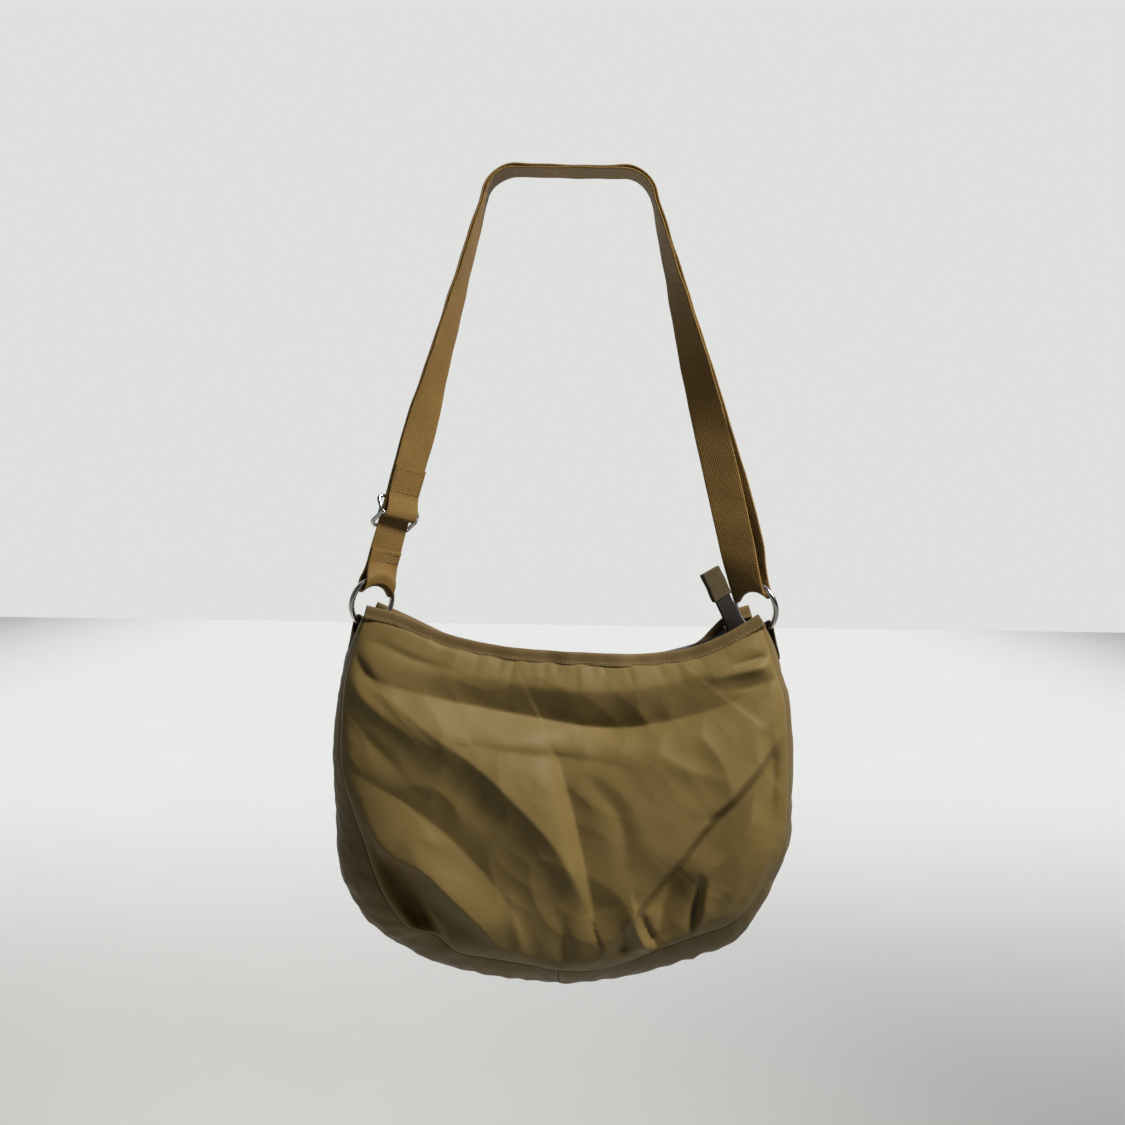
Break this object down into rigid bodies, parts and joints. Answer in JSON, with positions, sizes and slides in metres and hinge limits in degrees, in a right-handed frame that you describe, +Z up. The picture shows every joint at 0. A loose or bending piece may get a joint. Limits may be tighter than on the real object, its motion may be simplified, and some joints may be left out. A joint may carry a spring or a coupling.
{
  "type": "sling bag",
  "caption": "Soft nylon shoulder bag with a sagging zipped mouth, bound rims, a doubled webbing strap with a wire slider, and a round metal ring at each end.",
  "frame": {"origin": "under the middle of the strap's flat top, where it rests on a hook or a shoulder", "axes": "+Z up, -Y towards the front of the bag, X along the bag"},
  "size_m": [0.322, 0.0808, 0.5706],
  "materials": {
    "nylon": "plain-woven nylon with a soft sheen, khaki brown",
    "nylon_tab": "folded nylon, khaki brown",
    "lining": "thin smooth nylon, brown",
    "binding": "folded nylon tape, khaki brown",
    "webbing": "flat woven webbing, ochre brown",
    "zip_tape": "fine woven tape, near black",
    "zip_coil": "nylon coil, near black",
    "zip_metal": "dark gunmetal",
    "ring_metal": "bright nickel plate",
    "thread": "brown sewing thread"
  },
  "bodies": {
    "strap": {"webbing_top_outer": "webbing", "webbing_top_inner": "webbing", "webbing_right_outer": "webbing", "webbing_right_inner": "webbing", "webbing_right_bend": "webbing", "webbing_left_outer": "webbing", "webbing_left_inner": "webbing", "webbing_left_end": "webbing", "ring_end_stitching": "thread"},
    "strap_slider": {"strap_slider": "ring_metal", "webbing_slider_end": "webbing", "slider_end_stitching": "thread"},
    "left_ring": {"left_ring": "ring_metal"},
    "right_ring": {"right_ring": "ring_metal"},
    "bag": {"front_panel": "nylon", "back_panel": "nylon", "gusset_left": "nylon", "gusset_right": "nylon", "front_lining": "lining", "back_lining": "lining", "gusset_lining": "lining", "front_rim_binding": "binding", "back_rim_binding": "binding", "zip_tape_front": "zip_tape", "zip_tape_back": "zip_tape", "zip_coil_front": "zip_coil", "zip_coil_back": "zip_coil", "zip_end_stops": "zip_metal", "left_ring_tab": "nylon_tab", "right_ring_tab": "nylon_tab"},
    "zip_slider": {"zip_slider": "zip_metal"},
    "zip_pull": {"zip_pull": "zip_metal"},
    "zip_tail": {"zip_tail_tape": "zip_tape", "zip_end_tab": "nylon_tab"}
  },
  "joints": [
    {"name": "left_ring_swing", "type": "hinge", "parent": "strap", "child": "left_ring", "pos_m": [-0.1302, 0, -0.2815], "axis": [1, 0, 0], "range_deg": [-8, 8]},
    {"name": "right_ring_swing", "type": "hinge", "parent": "strap", "child": "right_ring", "pos_m": [0.1302, 0, -0.2815], "axis": [1, 0, 0], "range_deg": [-8, 8]},
    {"name": "bag_swing", "type": "hinge", "parent": "left_ring", "child": "bag", "pos_m": [-0.139, 0, -0.31413], "axis": [1, 0, 0], "range_deg": [-10, 10]},
    {"name": "zip_travel", "type": "hinge", "parent": "bag", "child": "zip_slider", "pos_m": [0, 0, -0.02761], "axis": [0, -1, 0], "range_deg": [0, 40.2]},
    {"name": "zip_pull_swing", "type": "hinge", "parent": "zip_slider", "child": "zip_pull", "pos_m": [-0.10441, 0, -0.31291], "axis": [0, -1, 0], "range_deg": [0, 135]},
    {"name": "zip_tail_fold", "type": "hinge", "parent": "bag", "child": "zip_tail", "pos_m": [0.119, -0.009, -0.30963], "axis": [1, 0, 0], "range_deg": [-40, 40]},
    {"name": "strap_adjust", "type": "slide", "parent": "strap", "child": "strap_slider", "axis": [0.2606, 0, 0.9655], "range_m": [-0.002, 0.025], "deforming": ["webbing_left_inner"]}
  ],
  "couplings": [
    {"joint": "right_ring_swing", "follows": "left_ring_swing", "ratio": 1}
  ]
}
